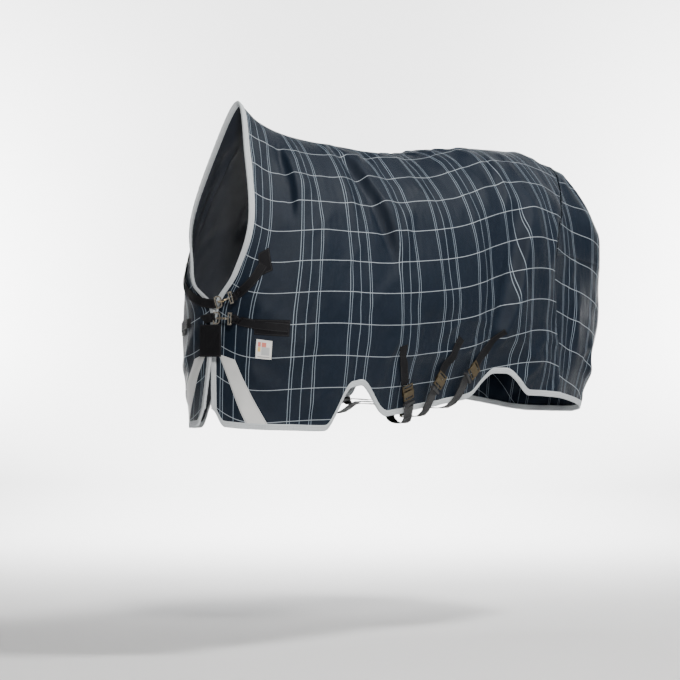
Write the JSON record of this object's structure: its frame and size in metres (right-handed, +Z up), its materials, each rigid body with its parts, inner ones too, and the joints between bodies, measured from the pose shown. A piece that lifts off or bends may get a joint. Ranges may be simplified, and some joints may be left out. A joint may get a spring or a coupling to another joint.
{
  "type": "horse rug",
  "caption": "High-necked horse rug with bound edges, leg arches, two chest snaps, a hook-and-loop chest tab, belly surcingles and a tail flap.",
  "frame": {"origin": "on the spine line at the withers, where the rug rests on the horse", "axes": "+X back towards the tail, +Y towards the horse's right side, +Z up"},
  "size_m": [1.9487, 0.6938, 1.0767],
  "materials": {
    "plaid": "woven, matt",
    "lining": "smooth nylon",
    "binding": "ribbed binding tape",
    "webbing": "black webbing",
    "reflective": "reflective tape",
    "label": "woven label",
    "nickel": "nickel plate",
    "rubber": "matt"
  },
  "bodies": {
    "rug": {"shell_left": "plaid", "lining_left": "lining", "front_binding_left": "binding", "hem_binding_left": "binding", "shoulder_patch_left": "webbing", "side_patch_left": "webbing", "reflective_strip_left": "reflective", "upper_strap_left": "webbing", "lower_strap_left": "webbing", "shell_right": "plaid", "lining_right": "lining", "front_binding_right": "binding", "hem_binding_right": "binding", "shoulder_patch_right": "webbing", "side_patch_right": "webbing", "reflective_strip_right": "reflective", "upper_strap_right": "webbing", "lower_strap_right": "webbing", "rump_panel": "plaid", "care_label": "label", "chest_tab": "webbing", "upper_snap_hook": "nickel", "lower_snap_hook": "nickel", "side_strap_1": "webbing", "slot_plate_1": "nickel", "anchor_strap_1": "webbing", "side_strap_2": "webbing", "slot_plate_2": "nickel", "anchor_strap_2": "webbing", "side_strap_3": "webbing", "slot_plate_3": "nickel", "anchor_strap_3": "webbing"},
    "tail_flap": {"tail_flap": "plaid", "tail_flap_binding": "binding"},
    "upper_gate": {"upper_snap_gate": "nickel"},
    "upper_ring": {"upper_ring": "nickel"},
    "lower_gate": {"lower_snap_gate": "nickel"},
    "lower_ring": {"lower_ring": "nickel"},
    "surcingle_1": {"belly_strap_1": "webbing", "t_hook_1": "nickel", "stop_ring_1": "rubber"},
    "slider_1": {"strap_slider_1": "nickel"},
    "surcingle_2": {"belly_strap_2": "webbing", "t_hook_2": "nickel", "stop_ring_2": "rubber"},
    "slider_2": {"strap_slider_2": "nickel"},
    "surcingle_3": {"belly_strap_3": "webbing", "t_hook_3": "nickel", "stop_ring_3": "rubber"},
    "slider_3": {"strap_slider_3": "nickel"}
  },
  "joints": [
    {"name": "tail_flap_lift", "type": "hinge", "parent": "rug", "child": "tail_flap", "pos_m": [1.283, 0, -0.363], "axis": [0, -1, 0], "range_deg": [0, 70]},
    {"name": "upper_gate_press", "type": "hinge", "parent": "rug", "child": "upper_gate", "pos_m": [-0.64269, -0.07289, -0.52582], "axis": [0.0528, -0.2777, -0.9592], "range_deg": [0, 16], "stiffness_Nm_per_rad": 0.02, "springref_deg": -20.05},
    {"name": "upper_ring_pivot", "type": "hinge", "parent": "rug", "child": "upper_ring", "pos_m": [-0.64297, -0.04092, -0.53509], "axis": [0.0528, -0.2777, -0.9592], "range_deg": [-5, 5]},
    {"name": "lower_gate_press", "type": "hinge", "parent": "rug", "child": "lower_gate", "pos_m": [-0.64592, -0.06968, -0.58447], "axis": [-0.0092, 0.0482, -0.9988], "range_deg": [0, 16], "stiffness_Nm_per_rad": 0.02, "springref_deg": -20.05},
    {"name": "lower_ring_pivot", "type": "hinge", "parent": "rug", "child": "lower_ring", "pos_m": [-0.64644, -0.03643, -0.58286], "axis": [-0.0092, 0.0482, -0.9988], "range_deg": [-5, 5]},
    {"name": "surcingle_1_swing", "type": "hinge", "parent": "rug", "child": "surcingle_1", "pos_m": [0.17, 0.316, -0.8], "axis": [1, 0, 0], "range_deg": [0, 70]},
    {"name": "slider_1_slide", "type": "slide", "parent": "surcingle_1", "child": "slider_1", "axis": [0.4399, 0.724, 0.5313], "range_m": [-0.01, 0.01]},
    {"name": "surcingle_2_swing", "type": "hinge", "parent": "rug", "child": "surcingle_2", "pos_m": [0.17, 0.316, -0.8], "axis": [1, 0, 0], "range_deg": [0, 70]},
    {"name": "slider_2_slide", "type": "slide", "parent": "surcingle_2", "child": "slider_2", "axis": [0.0814, 0.9807, 0.1779], "range_m": [-0.01, 0.01]},
    {"name": "surcingle_3_swing", "type": "hinge", "parent": "rug", "child": "surcingle_3", "pos_m": [0.17, 0.316, -0.8], "axis": [1, 0, 0], "range_deg": [0, 70]},
    {"name": "slider_3_slide", "type": "slide", "parent": "surcingle_3", "child": "slider_3", "axis": [-0.4471, 0.8609, 0.2427], "range_m": [-0.01, 0.01]}
  ],
  "couplings": [
    {"joint": "surcingle_2_swing", "follows": "surcingle_1_swing", "ratio": 1},
    {"joint": "surcingle_3_swing", "follows": "surcingle_1_swing", "ratio": 1}
  ]
}
